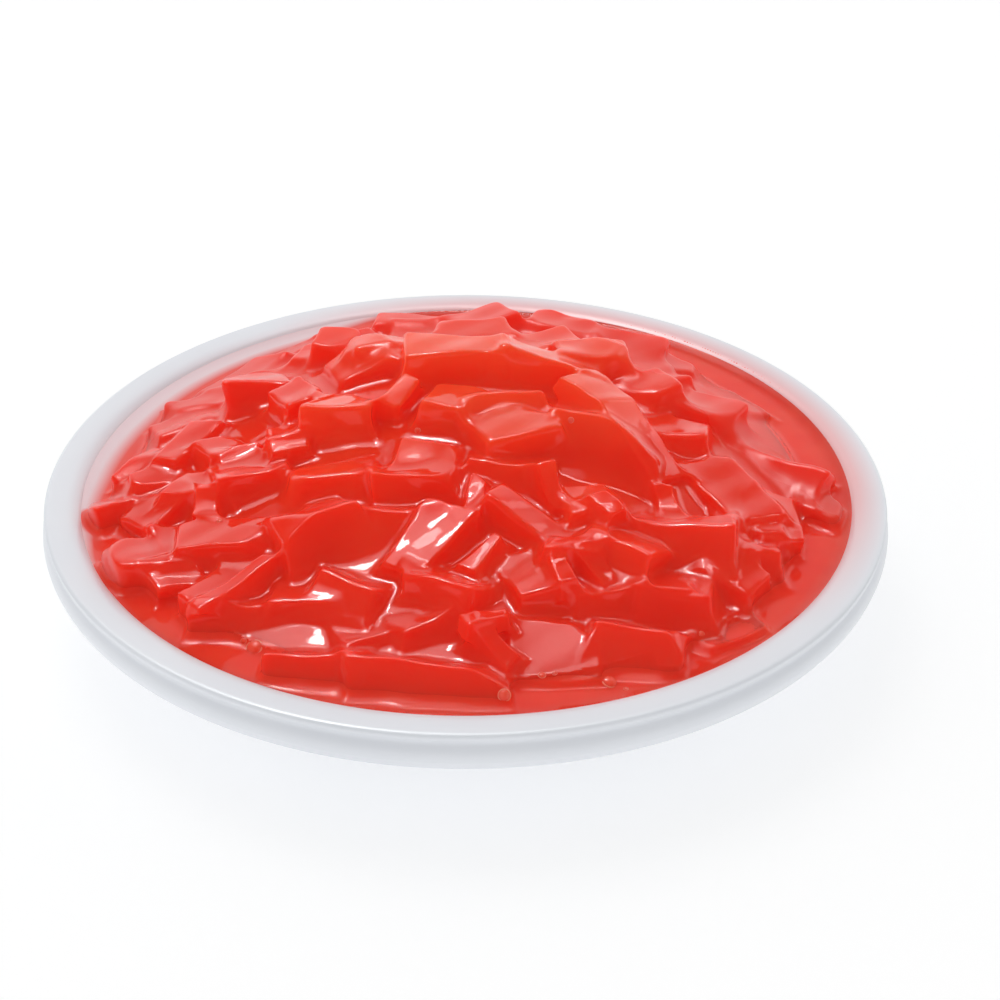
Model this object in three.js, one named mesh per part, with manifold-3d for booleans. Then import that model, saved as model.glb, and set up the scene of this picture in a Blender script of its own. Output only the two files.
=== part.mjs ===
// A shallow white dish of cut red jelly heaped in thick syrup.
// Millimetres, +Z up. The origin is the middle of the foot, on the surface the dish stands on, and the
// lower front of the heap faces -Y.
import * as THREE from 'three';
import { ConvexGeometry } from 'three/addons/geometries/ConvexGeometry.js';
import { mergeVertices } from 'three/addons/utils/BufferGeometryUtils.js';
import Module from 'manifold-3d';

// Driving dimensions of the dish.
const dishRadius = 80;
const dishHeight = 22;
const bandHeight = 7.5;
const lipWidth = 4.4;
const footRadius = 50;
const footWidth = 4;
const footRecess = 1.6;
const floorTop = 5.4;
const floorRadius = 46;

// The bends of the inside wall, each a radius and a height, from the floor up to the syrup's edge.
const wallFoot = [57, 5.8];
const wallKnee = [64, 12.6];
const wallTurn = [68.5, 17];

// Driving dimensions of what fills it.
const gap = 0.3;
const syrupLevel = 20.6;
const syrupRadius = 72.6;
const coreRadius = 64;
const coreFoot = [44, 5.7];
const coreHaunch = [50, 7.2];
const syrupFoot = [52.6, 9.2];
const syrupFootWidth = 3.4;
const coreRise = 17.5;
const coreStep = 0.8;
const corePeak = [6, 12];
const roomRadius = 71.4;
const roomHeight = 66;

// How roughly the jelly is cut: slant of the faces, spread of their distance, share of each corner kept.
const faceSlant = 0.13;
const faceSpread = [0.95, 1.04];
const cornerKept = [0.66, 0.92];
const sliceKept = 0.56;

const roundSteps = 64;
const curveSteps = 4;
const domeSteps = 7;
const domePower = 1.5;

// The jelly pieces that show, by where they lie on the heap. Each is the place of its middle, its length,
// width and height, then its yaw, pitch and roll in degrees, turned in the order roll, pitch, yaw. A tenth
// value, where there is one, is the direction in degrees of an extra slice across length and height.
const crown = [
  [-2, 11, 40, 20, 9.5, 10, -3, 0, -7],
  [15.5, 10, 38, 19, 9, 9, -8, 16, -12],
  [25, 18, 37, 14, 8, 7, 12, 4, -5],
  [-3, -3, 37.5, 10, 10, 8, -15, 8, -14],
  [9.5, -11.5, 36.2, 15, 10, 9, 24, -4, -4],
  [-7, -17, 33.2, 10.5, 10.5, 7, -12, -5, 16],
  [28, -6, 36, 27, 9, 8, -50, 32, -15, 115],
  [25, -13, 31, 19, 9, 20, -6, 4, -38, 52],
];
const frontSlope = [
  [7, -20, 30, 14, 8, 12, -10, 3, -34],
  [-9, -22, 31, 15, 9, 9, 4, 0, -25],
  [-6.6, -36.5, 29.4, 16, 9, 7, 57, -20, 3.8],
  [-25, -34, 26, 15, 10, 17, 25, 0, -32],
  [-24, -19, 31, 16, 8, 7, 6, -3, -12],
  [-14, -33, 25.5, 15, 9, 17, -4, 0, -38],
  [10, -32, 30, 15, 7, 9, -36, 15, 0],
  [22, -28, 31, 10, 8, 7, 18, 0, -8],
  [19, -37, 28, 10, 8, 8, 15, 0, -12],
  [27, -38, 26.5, 13, 10, 11, -30, 0, -18],
  [13, -44, 26, 11, 12, 8, 18, -8, 0],
  [-3, -47, 25.5, 14, 11, 9, -22, 0, -20],
  [24, -45, 24, 13, 9, 8, 8, 0, -16],
];
const frontEdge = [
  [-39, -47, 20, 17, 7, 9, -3, 0, -24],
  [-27, -45, 22.5, 11, 8, 6, -8, 0, -10],
  [-16, -52, 20.5, 12, 9, 6, 14, 0, -12],
  [-25, -61.6, 18.6, 17, 8, 9.5, -6, 3, -46],
  [-6, -65.2, 19.2, 26, 8, 10, 1, 0, -46],
  [-6, -50, 22, 14, 11, 7, 28, -4, -14],
  [4, -54.5, 21.6, 7, 5, 9, 38, 0, -30],
  [15, -56.4, 19.2, 15, 9, 11.5, -2, 3, -64],
  [28.3, -56.8, 19.2, 15, 9, 11.5, -4, 3, -50],
  [33, -44, 22.5, 9, 9, 8, 10, 0, -14],
  [44, -49, 19.4, 13, 9, 5, 28, -4, -4],
];
const leftSide = [
  [-24, -3, 32, 13.5, 9, 15, -6, 0, -22],
  [-32, 8, 32, 9, 10, 9, 35, 0, -6],
  [-33, -3, 30.5, 8, 7, 6, 10, 0, -6],
  [-41, 17, 29, 12, 9, 10, 10, 0, -14],
  [-53, 3, 25.4, 16, 7, 7, 62, -8, 0],
  [-60, -2, 21.8, 12, 9, 6, 50, -5, 0],
  [-39, -14, 27, 13, 9, 10, 15, 0, -18],
  [-46, -3, 27, 8, 8, 7, 30, 0, -6],
  [-48, -14, 24.5, 13, 9, 8, -15, 0, -10],
  [-43, -30, 22.5, 18, 9, 12, -4, -4, -4],
  [-57, -31, 20.5, 13, 11, 10, 16, 0, -5],
  [-62, -30, 19.8, 8, 7, 6.4, 40, 0, -8],
  [-65.5, -13, 20, 9, 8, 8, 38, 0, -24],
  [-40, -38, 22, 24, 6, 7, 47, -6, 0],
];
const rightSide = [
  [39, -33, 24, 17, 10, 16, -14, 0, -30],
  [48.5, -15.5, 25.8, 11, 20, 8, 25, 0, 9],
  [59, -1, 22.6, 20, 7, 7, -36, 7, -42],
  [66.5, -12, 19.4, 9, 7, 7, -35, 0, -16],
  [40, -1, 29, 12, 9, 8, -12, 5, -14],
  [36, 11, 32.2, 10, 9, 8, 30, 0, -5],
  [47, 11, 27.6, 13, 10, 8, -25, 0, -8],
];
const backSlope = [
  [-26, 31, 30, 9, 8, 12, -10, 0, -5],
  [-16, 22, 34.6, 9, 11, 9, -82, -16, 0],
  [-11, 51, 24.8, 15, 8, 10, -5, 0, -8],
  [4, 46, 29.4, 13, 11, 9, 22, 0, -12],
  [20, 44, 28.6, 13, 9, 8, -8, 4, -8],
  [33, 37, 27.4, 14, 10, 8, -16, 5, 0],
];
// Small slivers and lumps between them, made last.
const slivers = [
  [3.2, -40.5, 29.9, 9, 3, 4, 52, -10, 0],
  [4.8, -60, 24.2, 8, 3.2, 4, -40, 29, 0],
  [3.2, -56.3, 27.6, 8, 3, 3, 29, 3, 0],
  [16.4, -45.6, 30.2, 7, 2.6, 3, -70, 10, 0],
  [21.3, -41.6, 29.4, 7, 3, 4, -48, 38, 0],
  [18, -40.2, 31.2, 9, 3, 3, 5, 0, 0],
  [24.6, -31, 34, 6, 4, 3.5, -60, 15, 0],
  [36.2, -22.6, 29.5, 6, 3, 3, -80, 25, 0],
  [14.8, -24, 34, 9, 3, 4, -74, 32, 0],
  [1.6, -27.8, 33.2, 11, 3, 4, 75, -13, 0],
  [-12.4, 1.5, 37.6, 9, 4, 8, 64, -22, 20],
  [-39, -43.5, 26.4, 20, 3, 3.5, 40, -6, 0],
  [-42.2, -7, 29.2, 7, 5, 4, 10, 0, 20],
  [-46.5, -20, 27.4, 6, 4, 4, 80, -20, 0],
  [-32.8, -8.3, 32.6, 7, 4, 4, 15, 0, 15],
  [-51.5, -36.5, 21.6, 8, 7, 6, 30, 0, 18],
  [34.5, -57, 21.6, 6, 2.2, 3.4, 78, -22, 0],
  [8, -4, 35.5, 15, 9, 11, 6, -4, -38],
  [-20, -45, 24, 12, 9, 8, -24, 0, -42],
  [45, -30, 26.5, 8, 5, 4, 20, 6, 8],
];

// More pieces, drawn by rule, close the back and the sides: rows round the heap from one bearing to
// another, each sunk into the core and made at a share of the full size.
const fillRows = [
  { radius: 59, count: 14, from: 24, to: 172, sink: -3.4, share: 0.75 },
  { radius: 45, count: 10, from: 20, to: 165, sink: -3.4, share: 0.85 },
  { radius: 30, count: 6, from: 35, to: 150, sink: -2.2, share: 1 },
  { radius: 58, count: 5, from: -52, to: -16, sink: -0.6, share: 0.9 },
  { radius: 58, count: 4, from: 176, to: 212, sink: -1.2, share: 0.8 },
];
const fillLength = [11, 16];
const fillWidth = [8, 11];
const fillHeight = [7, 10];

const wasm = await Module();
wasm.setup();

// Repeatable draws, from one seed, in the order in which the pieces are made.
function makeDraw(seed) {
  const factor = 16807;
  const modulus = 2147483647;
  let state = seed;
  return (low, high) => {
    state = (state * factor) % modulus;
    return low + ((high - low) * state) / modulus;
  };
}
const draw = makeDraw(4207);

// ---- Solids and meshes ----

function toSolid(geometry) {
  const bare = geometry.clone();
  bare.deleteAttribute('normal');
  bare.deleteAttribute('uv');
  const merged = mergeVertices(bare, 1e-4);
  return new wasm.Manifold(new wasm.Mesh({
    numProp: 3,
    vertProperties: new Float32Array(merged.attributes.position.array),
    triVerts: new Uint32Array(merged.index.array),
  }));
}

function toGeometry(solid) {
  const { vertProperties, triVerts } = solid.getMesh();
  const geometry = new THREE.BufferGeometry();
  geometry.setAttribute('position', new THREE.BufferAttribute(new Float32Array(vertProperties), 3));
  geometry.setIndex(new THREE.BufferAttribute(new Uint32Array(triVerts), 1));
  geometry.computeVertexNormals();
  return geometry;
}

// A solid of revolution about +Z from a path in (radius, height).
function turned(path) {
  return new THREE.LatheGeometry(path.getPoints(curveSteps), roundSteps).rotateX(Math.PI / 2);
}

// ---- The dish ----

function makeDish() {
  const bandFoot = dishHeight - bandHeight;
  const footEdge = [footRadius + 1.4, 2.4];
  const underEdge = [dishRadius - 3.2, bandFoot - 0.5];
  const bandStart = [dishRadius - 0.4, bandFoot + 1.6];
  const bandEnd = [dishRadius - 0.8, dishHeight - 2.4];
  const lipEdge = [dishRadius - 0.6, dishHeight - 1.1];
  const lipTop = [dishRadius - 1.6, dishHeight];
  const lipInside = [dishRadius - lipWidth, dishHeight - 0.1];
  const path = new THREE.Path();
  path.moveTo(0, footRecess);
  path.lineTo(footRadius - footWidth - 1, footRecess);
  path.lineTo(footRadius - footWidth, 0);
  path.lineTo(footRadius, 0);
  path.lineTo(...footEdge);
  path.lineTo(...underEdge);
  path.quadraticCurveTo(dishRadius - 0.7, bandFoot, ...bandStart);
  path.quadraticCurveTo(dishRadius + 0.5, bandFoot + 3.4, ...bandEnd);
  path.quadraticCurveTo(dishRadius - 1.3, dishHeight - 1.6, ...lipEdge);
  path.quadraticCurveTo(dishRadius - 0.3, dishHeight, ...lipTop);
  path.lineTo(...lipInside);
  path.quadraticCurveTo(lipInside[0] - 2.2, dishHeight - 0.2, syrupRadius, syrupLevel);
  path.quadraticCurveTo(...wallTurn, ...wallKnee);
  path.quadraticCurveTo(...wallFoot, floorRadius, floorTop);
  path.lineTo(0, floorTop);
  return turned(path);
}

// ---- The heap's core and the syrup round it ----

// A low dome that fills the middle of the dish. Its top leans toward the heap's peak.
function makeCore() {
  const edge = syrupLevel + coreStep;
  const path = new THREE.Path();
  path.moveTo(0, floorTop + gap);
  path.lineTo(...coreFoot);
  path.lineTo(...coreHaunch);
  path.lineTo(coreRadius, syrupLevel);
  path.lineTo(coreRadius, edge);
  for (let step = 1; step <= domeSteps; step += 1) {
    const share = 1 - step / domeSteps;
    path.lineTo(coreRadius * share, edge + coreRise * (1 - share ** domePower));
  }
  const core = turned(path);
  const place = core.attributes.position;
  for (let i = 0; i < place.count; i += 1) {
    if (place.getZ(i) > edge) {
      const lean = 1 - Math.hypot(place.getX(i), place.getY(i)) / coreRadius;
      place.setXY(i, place.getX(i) + corePeak[0] * lean, place.getY(i) + corePeak[1] * lean);
    }
  }
  return core;
}

// The height of the core's top over a point, from the same lean.
function coreTop(x, y) {
  const [px, py] = corePeak;
  const a = coreRadius ** 2 - px * px - py * py;
  const b = px * (x - px) + py * (y - py);
  const share = (b + Math.sqrt(b * b + a * ((x - px) ** 2 + (y - py) ** 2))) / a;
  return syrupLevel + coreStep + coreRise * (1 - Math.min(share, 1) ** domePower);
}

function makeSyrup() {
  const path = new THREE.Path();
  path.moveTo(...syrupFoot);
  path.lineTo(syrupFoot[0] + syrupFootWidth, syrupFoot[1]);
  path.lineTo(wallKnee[0] - gap, wallKnee[1] + gap);
  path.quadraticCurveTo(wallTurn[0] - gap, wallTurn[1] + gap, syrupRadius - gap, syrupLevel);
  path.lineTo(coreRadius + gap, syrupLevel);
  path.lineTo(...syrupFoot);
  return turned(path);
}

// The room above the syrup, in which the pieces that reach past the core lie.
function makeRoom() {
  const path = new THREE.Path();
  path.moveTo(0, syrupLevel + gap);
  path.lineTo(roomRadius, syrupLevel + gap);
  path.lineTo(roomRadius, roomHeight);
  path.lineTo(0, roomHeight);
  return turned(path);
}

// ---- The jelly pieces ----

function meetingPoint(a, b, c) {
  const bc = b.normal.clone().cross(c.normal);
  const ca = c.normal.clone().cross(a.normal);
  const ab = a.normal.clone().cross(b.normal);
  const scale = a.normal.dot(bc);
  if (Math.abs(scale) < 1e-3) return null;
  return bc.multiplyScalar(a.reach).add(ca.multiplyScalar(b.reach)).add(ab.multiplyScalar(c.reach))
    .divideScalar(scale);
}

// The convex solid inside a set of planes, each a unit normal and its distance from the middle.
function convexInside(planes) {
  const corners = [];
  for (let i = 0; i < planes.length; i += 1) {
    for (let j = i + 1; j < planes.length; j += 1) {
      for (let k = j + 1; k < planes.length; k += 1) {
        const point = meetingPoint(planes[i], planes[j], planes[k]);
        if (point && planes.every(({ normal, reach }) => normal.dot(point) < reach + 1e-6)) {
          corners.push(point);
        }
      }
    }
  }
  return new ConvexGeometry(corners);
}

function slicePlane(direction, half, kept) {
  const normal = direction.normalize();
  const corner = Math.abs(normal.x) * half[0] + Math.abs(normal.y) * half[1] + Math.abs(normal.z) * half[2];
  return { normal, reach: corner * kept };
}

// The six slanted faces of a cut piece and the slices that take off a top corner and, if given, one side.
function piecePlanes(length, width, height, slice) {
  const half = [length / 2, width / 2, height / 2];
  const planes = [];
  for (let axis = 0; axis < 3; axis += 1) {
    for (const side of [-1, 1]) {
      const normal = new THREE.Vector3();
      for (let other = 0; other < 3; other += 1) {
        normal.setComponent(other, draw(-faceSlant, faceSlant));
      }
      normal.setComponent(axis, side);
      planes.push({ normal: normal.normalize(), reach: half[axis] * draw(...faceSpread) });
    }
  }
  const cornerX = Math.sign(draw(-1, 1)) * draw(0.5, 1);
  const cornerY = Math.sign(draw(-1, 1)) * draw(0.5, 1);
  planes.push(slicePlane(new THREE.Vector3(cornerX, cornerY, draw(0.4, 1)), half, draw(...cornerKept)));
  if (slice !== undefined) {
    const turn = THREE.MathUtils.degToRad(slice);
    planes.push(slicePlane(new THREE.Vector3(Math.cos(turn), 0, Math.sin(turn)), half, sliceKept));
  }
  return planes;
}

function makePiece([x, y, z, length, width, height, yaw, pitch, roll, slice]) {
  const turn = [roll, pitch, yaw].map(THREE.MathUtils.degToRad);
  const matrix = new THREE.Matrix4().makeRotationFromEuler(new THREE.Euler(...turn, 'ZYX'));
  matrix.setPosition(x, y, z);
  return convexInside(piecePlanes(length, width, height, slice)).applyMatrix4(matrix);
}

// One row of drawn pieces, each lying on the core's slope.
function fillRow({ radius, count, from, to, sink, share }) {
  const row = [];
  for (let i = 0; i < count; i += 1) {
    const bearing = THREE.MathUtils.degToRad(from + ((to - from) * (i + draw(0.2, 0.8))) / count);
    const out = radius + draw(-3, 3);
    const x = out * Math.cos(bearing);
    const y = out * Math.sin(bearing);
    const z = coreTop(x, y) + sink + draw(-1, 1.2);
    const size = [fillLength, fillWidth, fillHeight].map((range) => share * draw(...range));
    row.push([x, y, z, ...size, draw(-90, 90), draw(-16, 16), draw(-24, 12)]);
  }
  return row;
}

// The core with every piece fused on. Whatever would cross the dish or the syrup is cut short, and only
// the one joined body is kept, without loose scraps or sealed hollows.
function makeHeap() {
  const shown = [...crown, ...frontSlope, ...frontEdge, ...leftSide, ...rightSide, ...backSlope];
  const solids = shown.map((piece) => toSolid(makePiece(piece)));
  for (const row of fillRows) {
    solids.push(...fillRow(row).map((piece) => toSolid(makePiece(piece))));
  }
  solids.push(...slivers.map((piece) => toSolid(makePiece(piece))));
  const room = toSolid(makeRoom());
  const pieces = solids.reduce((all, one) => all.add(one));
  const parts = toSolid(makeCore()).add(pieces.intersect(room)).decompose();
  parts.sort((a, b) => b.volume() - a.volume());
  return toGeometry(parts[0]);
}

// ---- The group ----

function makeMesh(name, geometry, color, roughness) {
  const material = new THREE.MeshStandardMaterial({ color, roughness, metalness: 0 });
  const mesh = new THREE.Mesh(geometry, material);
  mesh.name = name;
  return mesh;
}

const group = new THREE.Group();
group.add(makeMesh('plate', makeDish(), 0xe4e8ee, 0.15));
group.add(makeMesh('syrup', makeSyrup(), 0xd8302a, 0.08));
group.add(makeMesh('jelly_heap', makeHeap(), 0xd72a19, 0.1));

export default group;
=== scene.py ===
import math

import bpy
import numpy as np
import openvdb
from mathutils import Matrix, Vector


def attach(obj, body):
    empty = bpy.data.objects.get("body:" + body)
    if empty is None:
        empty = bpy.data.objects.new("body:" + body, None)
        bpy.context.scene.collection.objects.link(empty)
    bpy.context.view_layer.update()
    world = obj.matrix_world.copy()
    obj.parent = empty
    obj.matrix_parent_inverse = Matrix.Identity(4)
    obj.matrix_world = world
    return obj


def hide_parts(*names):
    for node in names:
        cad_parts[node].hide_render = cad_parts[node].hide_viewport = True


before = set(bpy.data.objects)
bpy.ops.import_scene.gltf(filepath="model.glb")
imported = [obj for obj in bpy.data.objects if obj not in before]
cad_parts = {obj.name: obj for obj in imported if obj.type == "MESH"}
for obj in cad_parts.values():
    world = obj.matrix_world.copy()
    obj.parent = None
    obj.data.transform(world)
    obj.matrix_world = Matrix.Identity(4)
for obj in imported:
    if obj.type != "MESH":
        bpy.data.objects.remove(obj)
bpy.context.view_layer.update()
mm = 0.001  # shapes are worked out in millimetres, and meshes are made in metres
syrupLevel = 20.6
syrupRadius = 72.6  # where the level syrup meets the dish

# Shared help for meshes.


def makeDraw(seed):
    # the same draws as the solids use, so both have the same pieces
    multiplier, modulus = 16807, 2147483647
    state = seed

    def draw(low, high):
        nonlocal state
        state = state * multiplier % modulus
        return low + (high - low) * state / modulus

    return draw


def makeObject(name, points, faces):
    mesh = bpy.data.meshes.new(name)
    mesh.from_pydata((np.asarray(points) * mm).tolist(), [], faces)
    mesh.update()
    mesh.shade_smooth()
    made = bpy.data.objects.new(name, mesh)
    bpy.context.scene.collection.objects.link(made)
    return made


def plainMesh(obj, name):
    # turns what the modifiers make into the object's own mesh
    graph = bpy.context.evaluated_depsgraph_get()
    fresh = bpy.data.meshes.new_from_object(obj.evaluated_get(graph))
    old = obj.data
    obj.modifiers.clear()
    obj.data = fresh
    bpy.data.meshes.remove(old)
    fresh.name = name


def setValue(obj, name, values):
    attribute = obj.data.attributes.new(name, "FLOAT", "POINT")
    attribute.data.foreach_set("value", values.astype(np.float32))


# Shared help for materials.


def newMaterial(name):
    material = bpy.data.materials.new(name)
    material.use_nodes = True
    tree = material.node_tree
    return material, tree, tree.nodes["Principled BSDF"]


def addNode(tree, kind, **values):
    node = tree.nodes.new(kind)
    for key, value in values.items():
        setattr(node, key, value)
    return node


def feed(socket, value):
    # an input takes another node's output, a colour, or a plain value
    if isinstance(value, bpy.types.NodeSocket):
        socket.id_data.links.new(value, socket)
    elif socket.type == "RGBA" and len(value) == 3:
        socket.default_value = (*value, 1)
    else:
        socket.default_value = value


def feedAll(node, values):
    for name, value in values.items():
        feed(node.inputs[name], value)


def noiseOn(tree, scale, detail=2):
    place = addNode(tree, "ShaderNodeTexCoord")
    noise = addNode(tree, "ShaderNodeTexNoise")
    feedAll(noise, {"Vector": place.outputs["Object"], "Scale": scale, "Detail": detail})
    return noise.outputs["Fac"]


def spread(tree, value, low, high, toLow=0, toHigh=1, kind="LINEAR"):
    node = addNode(tree, "ShaderNodeMapRange", interpolation_type=kind)
    feedAll(node, {"Value": value, "From Min": low, "From Max": high, "To Min": toLow, "To Max": toHigh})
    return node.outputs["Result"]


def mixColours(tree, share, first, second):
    mix = addNode(tree, "ShaderNodeMix", data_type="RGBA")
    for place, value in zip((0, 6, 7), (share, first, second)):
        feed(mix.inputs[place], value)
    return mix.outputs[2]


def mixNumbers(tree, share, first, second):
    mix = addNode(tree, "ShaderNodeMix", data_type="FLOAT")
    for place, value in zip((0, 2, 3), (share, first, second)):
        feed(mix.inputs[place], value)
    return mix.outputs[0]


def calculated(tree, operation, first, second):
    node = addNode(tree, "ShaderNodeMath", operation=operation)
    feed(node.inputs[0], first)
    feed(node.inputs[1], second)
    return node.outputs["Value"]


def objectPlace(tree):
    parts = addNode(tree, "ShaderNodeSeparateXYZ")
    feed(parts.inputs[0], addNode(tree, "ShaderNodeTexCoord").outputs["Object"])
    return parts.outputs


def along(tree, vector, direction):
    # how far a vector reaches in one direction
    node = addNode(tree, "ShaderNodeVectorMath", operation="DOT_PRODUCT")
    feed(node.inputs[0], vector)
    feed(node.inputs[1], direction)
    return node.outputs["Value"]


def outward(tree, inner, outer, most):
    # grows with the distance from the middle of the dish
    flat = addNode(tree, "ShaderNodeVectorMath", operation="MULTIPLY")
    feed(flat.inputs[0], addNode(tree, "ShaderNodeTexCoord").outputs["Object"])
    feed(flat.inputs[1], (1, 1, 0))
    radius = addNode(tree, "ShaderNodeVectorMath", operation="LENGTH")
    feed(radius.inputs[0], flat.outputs[0])
    return spread(tree, radius.outputs["Value"], inner * mm, outer * mm, 0, most)


def attributeValue(tree, name):
    return addNode(tree, "ShaderNodeAttribute", attribute_name=name).outputs["Fac"]


def addBump(tree, shader, layers, distance):
    # layers are noise scale and strength
    normal = None
    for scale, strength in layers:
        bump = addNode(tree, "ShaderNodeBump")
        feedAll(bump, {"Height": noiseOn(tree, scale), "Strength": strength, "Distance": distance * mm})
        if normal is not None:
            feed(bump.inputs["Normal"], normal)
        normal = bump.outputs["Normal"]
    feedAll(shader, {"Normal": normal, "Coat Normal": normal})


def addScatterAndPaintedGlow(shader, look, weight):
    # light that spreads below the surface, and a painted glow: an emission that lifts the shade in
    # creases and undercuts
    values = {
        "IOR": look["refraction"],
        "Subsurface Weight": weight,
        "Subsurface Radius": look["scatterShares"],
        "Subsurface Scale": look["scatter"] * mm,
        "Emission Color": look["paintedGlow"],
        "Emission Strength": 1,
    }
    feedAll(shader, values)


# The dish: a closed solid of revolution, white and glazed.

dish = {
    "radius": 80,
    "height": 22,
    "footRadius": 50,
    "footWidth": 4,
    "footRecess": 1.6,
    "footSlope": 1,
    "underStart": (1.4, 2.4),  # the underside starts this far past the foot, and this high
    "underEnd": (3.2, 0.5),  # and ends this far in from the edge, and below the band
    "bandHeight": 7.5,
    # bends of the band and lip, as the point each leans to and its end: in from the edge, up the band
    "bends": [
        ((0.7, 0), (0.4, 1.6)),
        ((-0.5, 3.4), (0.8, 5.1)),
        ((1.3, 5.9), (0.6, 6.4)),
        ((0.3, 7.5), (1.6, 7.5)),
    ],
    "lipInside": (4.4, 0.1),  # in from the edge, and down from the top
    "lipLean": (6.6, 0.2),
    "wallTurn": (68.5, 17),  # from here on radius and height
    "wallKnee": (64, 12.6),
    "wallFoot": (57, 5.8),
    "floorEdge": (46, 5.4),
    "roundSteps": 288,
    "curveSteps": 9,
    "cornerSteps": 4,
    "cornerCut": 0.6,  # most that a hard corner loses
    "cornerShare": 0.4,  # and most of the side next to it
    "straight": 0.985,  # cosine of the widest turn that is no corner
    "colours": {
        "dark": (0.819, 0.84597, 0.89635),
        "light": (0.8568, 0.8823, 0.9282),
        "blush": (0.90, 0.30, 0.29),  # red that the lip takes from the syrup
    },
    "blushMost": 0.6,
    "blushRadii": (79, 74.5),
    "blushBearing": 42,
    "blushReach": (10, 55),  # towards that bearing
    "blushHeights": (19.8, 20.8),
    "cloudNoise": (30, 3),  # scale and detail
    "speckNoise": (900, 2),
    "noiseSpread": (0.3, 0.7),
    "gloss": (0.34, 0.4),
    "coat": 0.15,
    "coatGloss": 0.25,
    "bumps": [(70, 0.08)],
    "bumpHeight": 0.4,
}


def quadCurve(start, control, end, steps):
    start, control, end = (np.array(point, float) for point in (start, control, end))
    t = np.linspace(0, 1, steps + 1)[1:, None]
    return ((1 - t) ** 2 * start + 2 * t * (1 - t) * control + t**2 * end).tolist()


def dishPath():
    edge, top, foot = dish["radius"], dish["height"], dish["footRadius"]
    band = top - dish["bandHeight"]
    recess, footInside = dish["footRecess"], foot - dish["footWidth"]
    path = [[0, recess], [footInside - dish["footSlope"], recess], [footInside, 0], [foot, 0]]
    past, up = dish["underStart"]
    inward, below = dish["underEnd"]
    path += [[foot + past, up], [edge - inward, band - below]]
    for control, end in dish["bends"]:
        points = [(edge - distance, band + height) for distance, height in (control, end)]
        path += quadCurve(path[-1], *points, dish["curveSteps"])
    lipInside, lipLean = ([edge - dish[key][0], top - dish[key][1]] for key in ("lipInside", "lipLean"))
    path.append(lipInside)
    for control, end in (
        (lipLean, (syrupRadius, syrupLevel)),
        (dish["wallTurn"], dish["wallKnee"]),
        (dish["wallFoot"], dish["floorEdge"]),
    ):
        path += quadCurve(path[-1], control, end, dish["curveSteps"])
    path.append([0, dish["floorEdge"][1]])
    return softenPath(path)


def softenPath(path):
    # rounds the hard corners of the foot and lip a little, where a glazed dish has no sharp edge
    out = [path[0]]
    for before, here, after in zip(path[:-2], path[1:-1], path[2:]):
        a, b, c = np.array(before), np.array(here), np.array(after)
        lengthIn, lengthOut = np.linalg.norm(b - a), np.linalg.norm(c - b)
        if np.dot(b - a, c - b) / (lengthIn * lengthOut) > dish["straight"]:
            out.append(here)
            continue
        share = dish["cornerShare"]
        cut = min(dish["cornerCut"], lengthIn * share, lengthOut * share)
        start, end = b + (a - b) / lengthIn * cut, b + (c - b) / lengthOut * cut
        out.append(start.tolist())
        out += quadCurve(start, b, end, dish["cornerSteps"])
    out.append(path[-1])
    return out


def turned(name, path, steps):
    # a closed solid of revolution whose path starts and ends on the axis
    angle = np.arange(steps) * 2 * math.pi / steps
    inner = np.array(path[1:-1])
    rows = len(inner)
    points = np.empty((rows, steps, 3))
    points[..., :2] = inner[:, None, :1] * np.stack([np.cos(angle), np.sin(angle)], -1)[None]
    points[..., 2] = inner[:, None, 1]
    points = points.reshape(-1, 3)
    low, high = len(points), len(points) + 1
    points = np.vstack([points, [0, 0, path[0][1]], [0, 0, path[-1][1]]])
    faces = []
    for row in range(rows - 1):
        for i in range(steps):
            j = (i + 1) % steps
            a, b = row * steps, (row + 1) * steps
            faces.append((a + i, a + j, b + j, b + i))
    last = (rows - 1) * steps
    for i in range(steps):
        j = (i + 1) % steps
        faces.append((low, j, i))
        faces.append((high, last + i, last + j))
    return makeObject(name, points, faces)


def redNearby(tree):
    # how strongly the red of the syrup shows in the lip beside it, most on the far right
    turn = math.radians(dish["blushBearing"])
    place = addNode(tree, "ShaderNodeTexCoord").outputs["Object"]
    towards = along(tree, place, (math.cos(turn), math.sin(turn), 0))
    near, far = dish["blushReach"]
    low, high = dish["blushHeights"]
    share = outward(tree, *dish["blushRadii"], dish["blushMost"])
    share = calculated(tree, "MULTIPLY", share, spread(tree, towards, near * mm, far * mm))
    raised = spread(tree, objectPlace(tree)["Z"], low * mm, high * mm)
    return calculated(tree, "MULTIPLY", share, raised)


def makeGlazeMaterial():
    material, tree, shader = newMaterial("white glaze")
    colours = dish["colours"]
    cloudy = spread(tree, noiseOn(tree, *dish["cloudNoise"]), *dish["noiseSpread"])
    base = mixColours(tree, cloudy, colours["dark"], colours["light"])
    base = mixColours(tree, redNearby(tree), base, colours["blush"])
    gloss = spread(tree, noiseOn(tree, *dish["speckNoise"]), *dish["noiseSpread"], *dish["gloss"])
    feedAll(shader, {"Base Color": base, "Roughness": gloss})
    feedAll(shader, {"Coat Weight": dish["coat"], "Coat Roughness": dish["coatGloss"]})
    addBump(tree, shader, dish["bumps"], dish["bumpHeight"])
    return material


dishPiece = turned("dish", dishPath(), dish["roundSteps"])
dishPiece.data.materials.append(makeGlazeMaterial())
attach(dishPiece, "root")
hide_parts("plate")
print("dish:", len(dishPiece.data.polygons), "faces")

# The jelly: a heap of cut pieces over a plain core, joined by films of syrup.

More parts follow.
